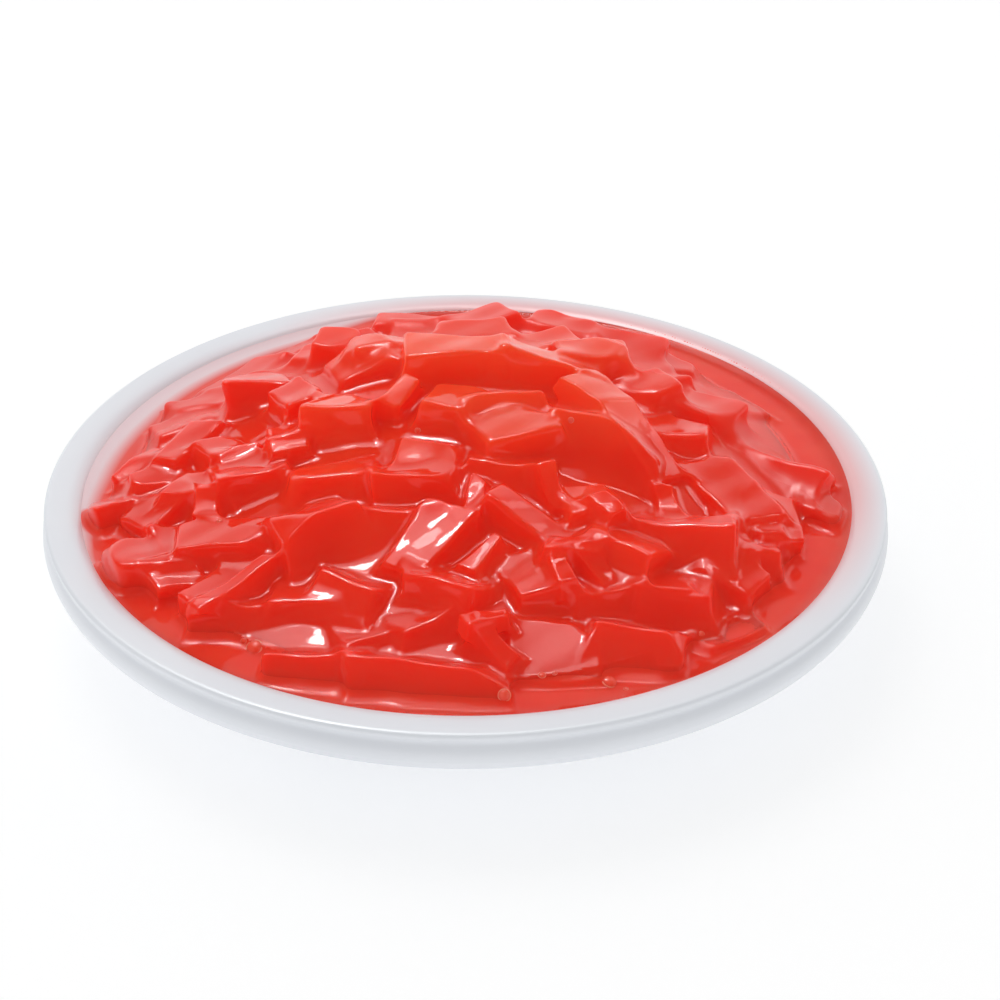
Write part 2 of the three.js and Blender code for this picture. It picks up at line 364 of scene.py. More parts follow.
jelly = {
    "seed": 4207,
    "softSeed": 911,
    # Pieces: place of the middle, length, width and height, then yaw, pitch and roll in degrees.
    # A tenth value is the direction of an extra slice.
    "crown": [
        (-2, 11, 40, 20, 9.5, 10, -3, 0, -7),
        (15.5, 10, 38, 19, 9, 9, -8, 16, -12),
        (25, 18, 37, 14, 8, 7, 12, 4, -5),
        (-3, -3, 37.5, 10, 10, 8, -15, 8, -14),
        (9.5, -11.5, 36.2, 15, 10, 9, 24, -4, -4),
        (-7, -17, 33.2, 10.5, 10.5, 7, -12, -5, 16),
        (28, -6, 36, 27, 9, 8, -50, 32, -15, 115),
        (25, -13, 31, 19, 9, 20, -6, 4, -38, 52),
    ],
    "frontSlope": [
        (7, -20, 30, 14, 8, 12, -10, 3, -34),
        (-9, -22, 31, 15, 9, 9, 4, 0, -25),
        (-6.6, -36.5, 29.4, 16, 9, 7, 57, -20, 3.8),
        (-25, -34, 26, 15, 10, 17, 25, 0, -32),
        (-24, -19, 31, 16, 8, 7, 6, -3, -12),
        (-14, -33, 25.5, 15, 9, 17, -4, 0, -38),
        (10, -32, 30, 15, 7, 9, -36, 15, 0),
        (22, -28, 31, 10, 8, 7, 18, 0, -8),
        (19, -37, 28, 10, 8, 8, 15, 0, -12),
        (27, -38, 26.5, 13, 10, 11, -30, 0, -18),
        (13, -44, 26, 11, 12, 8, 18, -8, 0),
        (-3, -47, 25.5, 14, 11, 9, -22, 0, -20),
        (24, -45, 24, 13, 9, 8, 8, 0, -16),
    ],
    "frontEdge": [
        (-39, -47, 20, 17, 7, 9, -3, 0, -24),
        (-27, -45, 22.5, 11, 8, 6, -8, 0, -10),
        (-16, -52, 20.5, 12, 9, 6, 14, 0, -12),
        (-25, -61.6, 18.6, 17, 8, 9.5, -6, 3, -46),
        (-6, -65.2, 19.2, 26, 8, 10, 1, 0, -46),
        (-6, -50, 22, 14, 11, 7, 28, -4, -14),
        (4, -54.5, 21.6, 7, 5, 9, 38, 0, -30),
        (15, -56.4, 19.2, 15, 9, 11.5, -2, 3, -64),
        (28.3, -56.8, 19.2, 15, 9, 11.5, -4, 3, -50),
        (33, -44, 22.5, 9, 9, 8, 10, 0, -14),
        (44, -49, 19.4, 13, 9, 5, 28, -4, -4),
    ],
    "leftSide": [
        (-24, -3, 32, 13.5, 9, 15, -6, 0, -22),
        (-32, 8, 32, 9, 10, 9, 35, 0, -6),
        (-33, -3, 30.5, 8, 7, 6, 10, 0, -6),
        (-41, 17, 29, 12, 9, 10, 10, 0, -14),
        (-53, 3, 25.4, 16, 7, 7, 62, -8, 0),
        (-60, -2, 21.8, 12, 9, 6, 50, -5, 0),
        (-39, -14, 27, 13, 9, 10, 15, 0, -18),
        (-46, -3, 27, 8, 8, 7, 30, 0, -6),
        (-48, -14, 24.5, 13, 9, 8, -15, 0, -10),
        (-43, -30, 22.5, 18, 9, 12, -4, -4, -4),
        (-57, -31, 20.5, 13, 11, 10, 16, 0, -5),
        (-62, -30, 19.8, 8, 7, 6.4, 40, 0, -8),
        (-65.5, -13, 20, 9, 8, 8, 38, 0, -24),
        (-40, -38, 22, 24, 6, 7, 47, -6, 0),
    ],
    "rightSide": [
        (39, -33, 24, 17, 10, 16, -14, 0, -30),
        (48.5, -15.5, 25.8, 11, 20, 8, 25, 0, 9),
        (59, -1, 22.6, 20, 7, 7, -36, 7, -42),
        (66.5, -12, 19.4, 9, 7, 7, -35, 0, -16),
        (40, -1, 29, 12, 9, 8, -12, 5, -14),
        (36, 11, 32.2, 10, 9, 8, 30, 0, -5),
        (47, 11, 27.6, 13, 10, 8, -25, 0, -8),
    ],
    "backSlope": [
        (-26, 31, 30, 9, 8, 12, -10, 0, -5),
        (-16, 22, 34.6, 9, 11, 9, -82, -16, 0),
        (-11, 51, 24.8, 15, 8, 10, -5, 0, -8),
        (4, 46, 29.4, 13, 11, 9, 22, 0, -12),
        (20, 44, 28.6, 13, 9, 8, -8, 4, -8),
        (33, 37, 27.4, 14, 10, 8, -16, 5, 0),
    ],
    "slivers": [
        (3.2, -40.5, 29.9, 9, 3, 4, 52, -10, 0),
        (4.8, -60, 24.2, 8, 3.2, 4, -40, 29, 0),
        (3.2, -56.3, 27.6, 8, 3, 3, 29, 3, 0),
        (16.4, -45.6, 30.2, 7, 2.6, 3, -70, 10, 0),
        (21.3, -41.6, 29.4, 7, 3, 4, -48, 38, 0),
        (18, -40.2, 31.2, 9, 3, 3, 5, 0, 0),
        (24.6, -31, 34, 6, 4, 3.5, -60, 15, 0),
        (36.2, -22.6, 29.5, 6, 3, 3, -80, 25, 0),
        (14.8, -24, 34, 9, 3, 4, -74, 32, 0),
        (1.6, -27.8, 33.2, 11, 3, 4, 75, -13, 0),
        (-12.4, 1.5, 37.6, 9, 4, 8, 64, -22, 20),
        (-39, -43.5, 26.4, 20, 3, 3.5, 40, -6, 0),
        (-42.2, -7, 29.2, 7, 5, 4, 10, 0, 20),
        (-46.5, -20, 27.4, 6, 4, 4, 80, -20, 0),
        (-32.8, -8.3, 32.6, 7, 4, 4, 15, 0, 15),
        (-51.5, -36.5, 21.6, 8, 7, 6, 30, 0, 18),
        (34.5, -57, 21.6, 6, 2.2, 3.4, 78, -22, 0),
        (8, -4, 35.5, 15, 9, 11, 6, -4, -38),
        (-20, -45, 24, 12, 9, 8, -24, 0, -42),
        (45, -30, 26.5, 8, 5, 4, 20, 6, 8),
    ],
    # rows round the heap: radius, count, first and last bearing, sink, share of the full size
    "fillRows": [
        (59, 14, 24, 172, -3.4, 0.75),
        (45, 10, 20, 165, -3.4, 0.85),
        (30, 6, 35, 150, -2.2, 1),
        (58, 5, -52, -16, -0.6, 0.9),
        (58, 4, 176, 212, -1.2, 0.8),
    ],
    "fillPlace": (0.2, 0.8),  # of its share of the row
    "fillOut": (-3, 3),
    "fillSink": (-1, 1.2),
    "fillLength": (11, 16),
    "fillWidth": (8, 11),
    "fillHeight": (7, 10),
    "fillYaw": (-90, 90),
    "fillPitch": (-16, 16),
    "fillRoll": (-24, 12),
    "faceSlant": 0.13,
    "faceSpread": (0.95, 1.04),
    "cornerSide": (0.5, 1),  # which way the cut corner of a piece points
    "cornerUp": (0.4, 1),
    "cornerKept": (0.66, 0.92),
    "sliceKept": 0.56,
    "coreRadius": 64,
    "coreRise": 17.5,
    "coreStep": 0.8,
    "corePeak": (6, 12),
    "coreWall": [(5.7, 44), (7.2, 50), (20.6, 64), (21.4, 64)],  # height, radius
    "coreTint": 0.5,
    "domePower": 1.5,
    "sideSlope": 0.8,  # these two keep the core's field near a true distance
    "topSlope": 0.85,
    "roomRadius": 71.4,
    "roomRound": 1.6,
    "pieceFoot": 19.4,  # pieces end here, under the syrup
    "footRound": 0.8,
    "farStart": 4,  # past here the pieces start to drown in syrup
    "farWidth": 30,
    "farRight": (24, 0.9),  # the same past a side: where it starts, and how much it counts
    "farLeft": (38, 0.6),
    "edgeRound": 0.75,
    "edgeSpread": (0.6, 1.7),
    "smallSize": 6,  # smaller pieces have finer edges
    "farRound": 1.6,
    "mostRound": 0.3,  # of half the thinnest side
    "film": 2.5,  # how widely syrup fills the creases
    "farFilm": 3.6,
    "reach": 6.5,  # how far past a piece its field is worked out
    "reachShare": 1.1,
    "tintBlend": 0.35,  # how far the tints of two pieces run into each other
    "tintDepths": (-1, 12),
    "bend": 0.25,  # soft bending of the cut faces
    "quickShare": 0.4,
    # for each axis a slow and a quick wave: its lengths along the two other axes, and its start
    "waves": [
        ((23, 31, 0.7), (13, 9, 2.1)),
        ((-19, 27, 1.9), (11, 10, 0.4)),
        ((21, 29, 4.0), (12, -9, 5.2)),
    ],
    "low": (-73, -69, 5),  # corners of the block of air it is worked out in
    "high": (78.5, 69, 49),
    "cell": 0.42,
    "triangles": 190000,
    "colours": {
        "dark": (0.83, 0.038, 0.013),
        "light": (0.88, 0.060, 0.020),
        "deep": (0.79, 0.032, 0.012),
        "film": (0.83, 0.043, 0.018),
        # painted light: a lighter, warmer red for the top of the heap
        "warm": (0.95, 0.125, 0.04),
        "outer": (0.785, 0.040, 0.020),
    },
    "deepMost": 0.6,
    "filmMost": 0.5,
    "paintedTopLightFrom": (36, 44),  # heights between which the colour turns lighter and warmer: painted light on the top of the heap
    "paintedTopLightMost": 0.6,
    "outerFrom": (36, 64),  # radii between which it turns darker
    "outerMost": 0.85,
    "cloudNoise": (70, 2),
    "cloudSpread": (0.35, 0.65),
    "speckNoise": (420, 3),
    "speckSpread": (0.3, 0.7),
    "crispGloss": (0.045, 0.065),
    "softGloss": (0.33, 0.37),
    "refraction": 1.34,
    "scatter": 9,  # how far red light spreads inside, and the share of it that each colour reaches
    "scatterShares": (1.0, 0.07, 0.035),
    "paintedGlow": (0.10, 0.004, 0.003),  # painted glow: an emission that lifts the shade in creases and undercuts
    "bumps": [(160, 0.15), (520, 0.04)],
    "bumpHeight": 0.5,
}

skin = {
    "band": 3,  # cells on each side of the surface that its field is kept for
    "slopeStep": 0.05,
    "leastSlope": 0.25,  # squared, so that no point is thrown far
    "settleRounds": 2,
    "settleMost": 0.3,  # in one round
}


def turnMatrix(yaw, pitch, roll):
    a, b, c = (math.radians(v) for v in (yaw, pitch, roll))
    aboutZ = np.array([[math.cos(a), -math.sin(a), 0], [math.sin(a), math.cos(a), 0], [0, 0, 1]])
    aboutY = np.array([[math.cos(b), 0, math.sin(b)], [0, 1, 0], [-math.sin(b), 0, math.cos(b)]])
    aboutX = np.array([[1, 0, 0], [0, math.cos(c), -math.sin(c)], [0, math.sin(c), math.cos(c)]])
    return aboutZ @ aboutY @ aboutX


def coreTop(x, y):
    px, py = jelly["corePeak"]
    a = jelly["coreRadius"] ** 2 - px * px - py * py
    b = px * (x - px) + py * (y - py)
    share = (b + np.sqrt(b * b + a * ((x - px) ** 2 + (y - py) ** 2))) / a
    rise = jelly["coreRise"] * (1 - np.minimum(share, 1) ** jelly["domePower"])
    return syrupLevel + jelly["coreStep"] + rise


def slicePlane(normal, half, kept):
    normal = np.array(normal) / np.linalg.norm(normal)
    return normal, float(np.abs(normal) @ half) * kept


def cutPiece(row, draw):
    x, y, z, length, width, height, yaw, pitch, roll = row[:9]
    half = np.array([length, width, height]) / 2
    slant = jelly["faceSlant"]
    planes = []
    for axis in range(3):
        for side in (-1, 1):
            normal = np.array([draw(-slant, slant) for _ in range(3)])
            normal[axis] = side
            planes.append((normal / np.linalg.norm(normal), half[axis] * draw(*jelly["faceSpread"])))
    cornerX = math.copysign(1, draw(-1, 1)) * draw(*jelly["cornerSide"])
    cornerY = math.copysign(1, draw(-1, 1)) * draw(*jelly["cornerSide"])
    cornerZ = draw(*jelly["cornerUp"])
    planes.append(slicePlane((cornerX, cornerY, cornerZ), half, draw(*jelly["cornerKept"])))
    if len(row) > 9:
        turn = math.radians(row[9])
        planes.append(slicePlane((math.cos(turn), 0, math.sin(turn)), half, jelly["sliceKept"]))
    turning = turnMatrix(yaw, pitch, roll)
    centre = np.array([x, y, z], float)
    normals = np.array([turning @ n for n, _ in planes])
    reach = np.array([r for _, r in planes]) + normals @ centre
    size = float(np.linalg.norm(half))
    return {"centre": centre, "normals": normals, "reach": reach, "size": size, "thin": float(half.min())}


def fillRow(row, draw):
    radius, count, first, last, sink, share = row
    placed = []
    for i in range(count):
        bearing = math.radians(first + (last - first) * (i + draw(*jelly["fillPlace"])) / count)
        out = radius + draw(*jelly["fillOut"])
        x, y = out * math.cos(bearing), out * math.sin(bearing)
        z = float(coreTop(x, y)) + sink + draw(*jelly["fillSink"])
        size = [share * draw(*jelly[side]) for side in ("fillLength", "fillWidth", "fillHeight")]
        turn = [draw(*jelly[way]) for way in ("fillYaw", "fillPitch", "fillRoll")]
        placed.append([x, y, z, *size, *turn])
    return placed


def farShare(x, y):
    # from 0 at the front, where pieces are crisp, to 1 at the back and far sides, drowned in syrup
    (rightStart, rightShare), (leftStart, leftShare) = jelly["farRight"], jelly["farLeft"]
    right = rightShare * np.maximum(x - rightStart, 0)
    left = leftShare * np.maximum(-x - leftStart, 0)
    return np.clip((y + right + left - jelly["farStart"]) / jelly["farWidth"], 0, 1)


def cutAllPieces():
    draw = makeDraw(jelly["seed"])
    made = []
    for part in ("crown", "frontSlope", "frontEdge", "leftSide", "rightSide", "backSlope"):
        made += [cutPiece(row, draw) for row in jelly[part]]
    for row in jelly["fillRows"]:
        made += [cutPiece(placed, draw) for placed in fillRow(row, draw)]
    made += [cutPiece(row, draw) for row in jelly["slivers"]]
    soften = makeDraw(jelly["softSeed"])
    for piece in made:
        small = min(1, piece["size"] / jelly["smallSize"])
        far = float(farShare(*piece["centre"][:2]))
        edge = jelly["edgeRound"] * small * soften(*jelly["edgeSpread"]) + jelly["farRound"] * far
        piece["round"] = min(edge, jelly["mostRound"] * piece["thin"])
        piece["tint"] = soften(0, 1)
        piece["window"] = piece["size"] * jelly["reachShare"] + jelly["reach"]
    return made


pieces = cutAllPieces()


def smoothMax(a, b, width):
    near = np.maximum(width - np.abs(a - b), 0)
    return np.maximum(a, b) + near * near / (4 * width)


def smoothMin(a, b, width):
    near = np.maximum(width - np.abs(a - b), 0)
    return np.minimum(a, b) - near * near / (4 * width)


def bent(*places):
    # slow waves, so that no cut face stays quite flat
    sizes = jelly["bend"], jelly["quickShare"] * jelly["bend"]
    moved = []
    for axis, waves in enumerate(jelly["waves"]):
        one, other = (place for i, place in enumerate(places) if i != axis)
        place = places[axis]
        for size, (lengthOne, lengthOther, start) in zip(sizes, waves):
            place = place + size * np.sin(2 * math.pi * (one / lengthOne + other / lengthOther) + start)
        moved.append(place.astype(np.float32))
    return moved


def pieceField(piece, x, y, z):
    field = None
    for normal, reach in zip(piece["normals"].astype(np.float32), piece["reach"]):
        plane = normal[0] * x + normal[1] * y + normal[2] * z - np.float32(reach)
        field = plane if field is None else smoothMax(field, plane, piece["round"])
    return field


def coreField(x, y, z):
    wall = np.array(jelly["coreWall"])
    radius = np.sqrt(x * x + y * y)
    wallRadius = np.interp(z, wall[:, 0], wall[:, 1]).astype(np.float32)
    side = (radius - wallRadius) * jelly["sideSlope"]
    top = (z - coreTop(x, y).astype(np.float32)) * jelly["topSlope"]
    under = wall[0, 0] - z
    return np.maximum(np.maximum(top, side), under).astype(np.float32)


def roomField(x, y, z):
    # inside the dish, as far out as a piece may lie
    radius = np.sqrt(x * x + y * y)
    side = (radius - jelly["roomRadius"]).astype(np.float32)
    return smoothMax(side, jelly["pieceFoot"] - z, jelly["footRound"]).astype(np.float32)


def filmAt(x, y):
    return (jelly["film"] + (jelly["farFilm"] - jelly["film"]) * farShare(x, y)).astype(np.float32)


def tintWeight(field):
    return np.exp(-np.clip(field, *jelly["tintDepths"]) / jelly["tintBlend"])


def heapAt(points):
    # at loose points: field of the whole heap, crisp field without films, blended tint of the pieces
    x, y, z = points[:, 0], points[:, 1], points[:, 2]
    bx, by, bz = bent(x, y, z)
    room = roomField(x, y, z)
    core = coreField(x, y, z)
    join = filmAt(x, y)
    smooth = core.copy()
    crisp = core.copy()
    weight = tintWeight(core)
    tint = jelly["coreTint"] * weight
    for piece in pieces:
        near = np.nonzero((np.abs(points - piece["centre"]) < piece["window"]).all(1))[0]
        field = pieceField(piece, bx[near], by[near], bz[near])
        field = smoothMax(field, room[near], jelly["roomRound"])
        smooth[near] = smoothMin(smooth[near], field, join[near])
        crisp[near] = np.minimum(crisp[near], field)
        share = tintWeight(field)
        weight[near] += share
        tint[near] += share * piece["tint"]
    return smooth, crisp, tint / np.maximum(weight, 1e-12)


def heapFieldAt(points):
    return heapAt(points)[0]


def makeGrid(low, high, cell):
    axes = [np.arange(a, b + cell, cell, dtype=np.float32) for a, b in zip(low, high)]
    return axes, np.meshgrid(*axes, indexing="ij")


def heapOnGrid(axes, x, y, z):
    bx, by, bz = bent(x, y, z)
    join = filmAt(x, y)
    room = roomField(x, y, z)
    field = coreField(x, y, z)
    for piece in pieces:
        window = []
        for axis, middle in zip(axes, piece["centre"]):
            ends = (middle - piece["window"], middle + piece["window"])
            window.append(slice(*np.searchsorted(axis, ends)))
        window = tuple(window)
        one = pieceField(piece, bx[window], by[window], bz[window])
        one = smoothMax(one, room[window], jelly["roomRound"])
        field[window] = smoothMin(field[window], one, join[window])
    return field


def skinOf(field, axes, cell):
    # the surface where a field is zero, as quads
    band = skin["band"] * cell
    grid = openvdb.FloatGrid(band)
    grid.copyFromArray(np.clip(field, -band, band), tolerance=0)
    points, quads = grid.convertToQuads(isovalue=0)
    start = np.array([axis[0] for axis in axes])
    return np.asarray(points) * cell + start, np.asarray(quads).tolist()


def slopeOf(fieldAt, points):
    middle = fieldAt(points)
    slope = np.empty((len(points), 3))
    for axis in range(3):
        moved = points.copy()
        moved[:, axis] += skin["slopeStep"]
        slope[:, axis] = (fieldAt(moved) - middle) / skin["slopeStep"]
    return middle, slope


def settle(points, fieldAt):
    # moves loose points onto the exact surface
    for _ in range(skin["settleRounds"]):
        value, slope = slopeOf(fieldAt, points)
        size = np.maximum((slope * slope).sum(1), skin["leastSlope"])
        step = -(value / size)[:, None] * slope
        length = np.maximum(np.linalg.norm(step, axis=1), 1e-9)
        points = points + step * np.minimum(1, skin["settleMost"] / length)[:, None]
    return points


def thinned(obj, triangles):
    count = sum(len(p.vertices) - 2 for p in obj.data.polygons)
    if count > triangles:
        modifier = obj.modifiers.new("thin", "DECIMATE")
        modifier.ratio = triangles / count
        plainMesh(obj, obj.name)
    obj.data.shade_smooth()


def makeSkin(name, sizes, field, axes, fieldAt):
    # a thinned mesh whose points and normals are those of the exact surface
    made = makeObject(name, *skinOf(field, axes, sizes["cell"]))
    thinned(made, sizes["triangles"])
    mesh = made.data
    flat = np.empty(len(mesh.vertices) * 3, np.float32)
    mesh.vertices.foreach_get("co", flat)
    points = settle(flat.reshape(-1, 3).astype(float) / mm, fieldAt)
    mesh.vertices.foreach_set("co", (points * mm).astype(np.float32).ravel())
    mesh.update()
    slope = slopeOf(fieldAt, points)[1]
    length = np.maximum(np.linalg.norm(slope, axis=1), 1e-9)
    mesh.normals_split_custom_set_from_vertices((slope / length[:, None]).tolist())
    return made, points


def makeJelly():
    axes, places = makeGrid(jelly["low"], jelly["high"], jelly["cell"])
    made, points = makeSkin("jelly", jelly, heapOnGrid(axes, *places), axes, heapFieldAt)
    smooth, crisp, tint = heapAt(points)
    thickest = jelly["film"] / 4  # what smoothMin can add
    setValue(made, "film", np.clip((crisp - smooth) / thickest, 0, 1))
    setValue(made, "tint", tint)
    setValue(made, "drowned", farShare(points[:, 0], points[:, 1]))
    return made


def makeJellyMaterial():
    material, tree, shader = newMaterial("red jelly")
    colours = jelly["colours"]
    clouds = noiseOn(tree, *jelly["cloudNoise"])
    specks = noiseOn(tree, *jelly["speckNoise"])
    cloudy = spread(tree, clouds, *jelly["cloudSpread"])
    base = mixColours(tree, cloudy, colours["dark"], colours["light"])
    deeper = spread(tree, attributeValue(tree, "tint"), 0, 1, 0, jelly["deepMost"])
    base = mixColours(tree, deeper, base, colours["deep"])
    wet = spread(tree, attributeValue(tree, "film"), 0, 1, 0, jelly["filmMost"])
    base = mixColours(tree, wet, base, colours["film"])
    # painted light: the top of the heap turns lighter and warmer with height
    lowest, highest = jelly["paintedTopLightFrom"]
    paintedTopLightShare = spread(tree, objectPlace(tree)["Z"], lowest * mm, highest * mm, 0, jelly["paintedTopLightMost"])
    base = mixColours(tree, paintedTopLightShare, base, colours["warm"])
    outer = outward(tree, *jelly["outerFrom"], jelly["outerMost"])
    base = mixColours(tree, outer, base, colours["outer"])
    crisp = spread(tree, specks, *jelly["speckSpread"], *jelly["crispGloss"])
    soft = spread(tree, clouds, *jelly["cloudSpread"], *jelly["softGloss"])
    gloss = mixNumbers(tree, attributeValue(tree, "drowned"), crisp, soft)
    feedAll(shader, {"Base Color": base, "Roughness": gloss})
    addScatterAndPaintedGlow(shader, jelly, 1)
    addBump(tree, shader, jelly["bumps"], jelly["bumpHeight"])
    return material


jellyPiece = makeJelly()
jellyPiece.data.materials.append(makeJellyMaterial())
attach(jellyPiece, "root")
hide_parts("jelly_heap")
print("jelly:", len(jellyPiece.data.polygons), "faces from", len(pieces), "cut pieces")

# The syrup: a level ring that climbs the pieces and the dish a little.

syrup = {
    "climb": 2.0,  # reach of the meniscus round a piece
    "rimClimb": (0.46, 0.1, 45),  # most and least rise against the dish, and the bearing of the most
    "rimReach": 2.4,  # how far inside the wall it starts to climb
    "rimMost": 1.6,  # and it climbs no further than this many reaches
    "foot": 9.2,
    "depthInPieces": 2.2,
    "top": 23.6,
    "sink": 0.1,
    "pieceFade": 2,  # its full colour beside a piece fades over this distance
    # paler towards the dish, by bearing: the radius where it is palest, and the width of the change
    "edge": [
        (-180, 71, 7.5),
        (-160, 73.6, 5),
        (-140, 74.2, 2.6),
        (-120, 74.2, 1.7),
        (-80, 73.6, 1.7),
        (-40, 73.8, 1.8),
        (0, 75.2, 3.4),
        (20, 76.5, 5),
        (60, 77, 5.5),
        (80, 76.5, 3.6),
        (100, 75, 3.6),
        (120, 70, 6.5),
        (160, 70, 8),
        (180, 71, 7.5),
    ],
    # the wall that it stops in, as height and radius
    "wall": [(5.7, 50), (12.9, 64.3), (17.3, 69.3), (20.6, 73.4), (21.2, 75.4), (60, 75.4)],
    "wallSlope": 0.7,
    "reach": (-75.6, 75.6),  # the block of air it is worked out in
    "heights": (8, 25),
    "cell": 0.5,
    "triangles": 110000,
    "colours": {
        "dark": (0.90, 0.042, 0.02),
        "light": (0.94, 0.06, 0.03),
        "thin": (0.80, 0.11, 0.09),
        "edge": (0.80, 0.72, 0.75),
    },
    "thinDepths": (0.3, 0.85),
    "edgeDepths": (0, 0.4),
    "scatterDepths": (0.35, 0.9),
    "cloudNoise": (90, 2),
    "cloudSpread": (0.35, 0.65),
    "glossSpread": (0.3, 0.7),
    "gloss": (0.02, 0.06),
    "refraction": 1.22,
    "scatter": 4,
    "scatterShares": (1.0, 0.12, 0.06),
    # painted glow: an emission that lifts the shade of the syrup
    "paintedGlow": (0.08, 0.005, 0.004),
    "bumps": [(120, 0.2)],
    "bumpHeight": 0.5,
}


def syrupTop(x, y, radius):
    most, least, bearing = syrup["rimClimb"]
    turn = math.radians(bearing)
    toward = (x * math.cos(turn) + y * math.sin(turn)) / np.maximum(radius, 1)
    climb = least + (most - least) * (0.5 + 0.5 * toward)
    edge = np.clip((radius - syrupRadius + syrup["rimReach"]) / syrup["rimReach"], 0, syrup["rimMost"])
    return syrupLevel + climb * edge**2


def syrupFieldFrom(heap, x, y, z):
    radius = np.sqrt(x * x + y * y)
    pool = z - syrupTop(x, y, radius)
    blended = smoothMin(pool, heap, syrup["climb"]) + syrup["sink"]
    inside = -(heap + syrup["depthInPieces"])
    profile = np.array(syrup["wall"])
    wall = (radius - np.interp(z, profile[:, 0], profile[:, 1])) * syrup["wallSlope"]
    ends = np.maximum(syrup["foot"] - z, z - syrup["top"])
    return np.maximum(np.maximum(blended, inside), np.maximum(wall, ends)).astype(np.float32)


def syrupFieldAt(points):
    return syrupFieldFrom(heapFieldAt(points), points[:, 0], points[:, 1], points[:, 2])


def makeSyrup():
    (near, far), (under, over) = syrup["reach"], syrup["heights"]
    axes, places = makeGrid((near, near, under), (far, far, over), syrup["cell"])
    field = syrupFieldFrom(heapOnGrid(axes, *places), *places)
    made, points = makeSkin("poured_syrup", syrup, field, axes, syrupFieldAt)
    radius = np.hypot(points[:, 0], points[:, 1])
    bearing = np.degrees(np.arctan2(points[:, 1], points[:, 0]))
    edge = np.array(syrup["edge"])
    palest, width = (np.interp(bearing, edge[:, 0], edge[:, column]) for column in (1, 2))
    rimDepth = (palest - radius) / width
    pieceDepth = 1 - heapFieldAt(points) / syrup["pieceFade"]
    setValue(made, "depth", np.clip(np.maximum(rimDepth, pieceDepth), 0, 1))
    return made


def makeSyrupMaterial():
    material, tree, shader = newMaterial("red syrup")
    colours = syrup["colours"]
    depth = attributeValue(tree, "depth")
    clouds = noiseOn(tree, *syrup["cloudNoise"])
    cloudy = spread(tree, clouds, *syrup["cloudSpread"])
    base = mixColours(tree, cloudy, colours["dark"], colours["light"])
    base = mixColours(tree, spread(tree, depth, *syrup["thinDepths"]), colours["thin"], base)
    base = mixColours(tree, spread(tree, depth, *syrup["edgeDepths"]), colours["edge"], base)
    gloss = spread(tree, clouds, *syrup["glossSpread"], *syrup["gloss"])
    weight = spread(tree, depth, *syrup["scatterDepths"])
    feedAll(shader, {"Base Color": base, "Roughness": gloss})
    addScatterAndPaintedGlow(shader, syrup, weight)
    addBump(tree, shader, syrup["bumps"], syrup["bumpHeight"])
    return material


syrupPiece = makeSyrup()
syrupPiece.data.materials.append(makeSyrupMaterial())
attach(syrupPiece, "root")
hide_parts("syrup")
print("syrup:", len(syrupPiece.data.polygons), "faces")

# Air bubbles: small domes with a ring round the foot, coloured paler as a painted sheen.

bubbles = {
    # place and radius
    "places": [
        (-35.7, -54, 1.35),
        (-37.6, -52.4, 0.5),
        (6.3, -69, 0.95),
        (12.6, -63.4, 0.6),
        (14.7, -62.9, 0.4),
        (23.8, -63.5, 1.2),
        (26.4, -65, 0.4),
        (-8.8, -7.4, 0.5),
        (19.2, -10.4, 0.5),
        (17, -30, 0.35),
        (-44, -26, 0.4),
        (40, -52, 0.45),
    ],
    "rise": (0.42, 0.58),  # of the radius
    "ringWidth": 0.17,
    "ringRadius": 1.02,
    "ringSteps": 28,
    "domeSteps": 16,
    "profileSteps": 10,
    "seed": 5,
    "heights": (20.0, 50.0),  # between which the surface is looked for
    "halvings": 24,
    "colours": {
        "dark": (0.86, 0.065, 0.03),
        "light": (0.89, 0.12, 0.08),
        # painted sheen: the ring is coloured paler, where light would catch the edge of the bubble
        "sheenRing": (0.93, 0.22, 0.14),
    },
    "cloudNoise": (900, 2),
    "cloudSpread": (0.35, 0.65),
    "glossSpread": (0.3, 0.7),
    "gloss": (0.02, 0.05),
    "refraction": 1.36,
    "scatterWeight": 0.3,
    "scatter": 1.5,
    "scatterShares": (1.0, 0.2, 0.12),
    # the same painted glow as the syrup
    "paintedGlow": syrup["paintedGlow"],
    "bumps": [(900, 0.1)],
    "bumpHeight": 0.1,
}


def skinAt(points):
    # the field of everything that meets the air inside the dish
    heap = heapFieldAt(points)
    return np.minimum(heap, syrupFieldFrom(heap, points[:, 0], points[:, 1], points[:, 2]))


def onTop(points):
    # moves points up or down to the surface, and gives its slope there
    low, high = (np.full(len(points), height) for height in bubbles["heights"])
    for _ in range(bubbles["halvings"]):
        middle = (low + high) / 2
        outside = skinAt(np.column_stack([points, middle])) > 0
        high = np.where(outside, middle, high)
        low = np.where(outside, low, middle)
    placed = np.column_stack([points, (low + high) / 2])
    slope = slopeOf(skinAt, placed)[1]
    return placed, slope / np.linalg.norm(slope, axis=1)[:, None]


def storedValue(tree, name, kind):
    node = addNode(tree, "GeometryNodeInputNamedAttribute", data_type=kind)
    feed(node.inputs["Name"], name)
    return node.outputs["Attribute"]


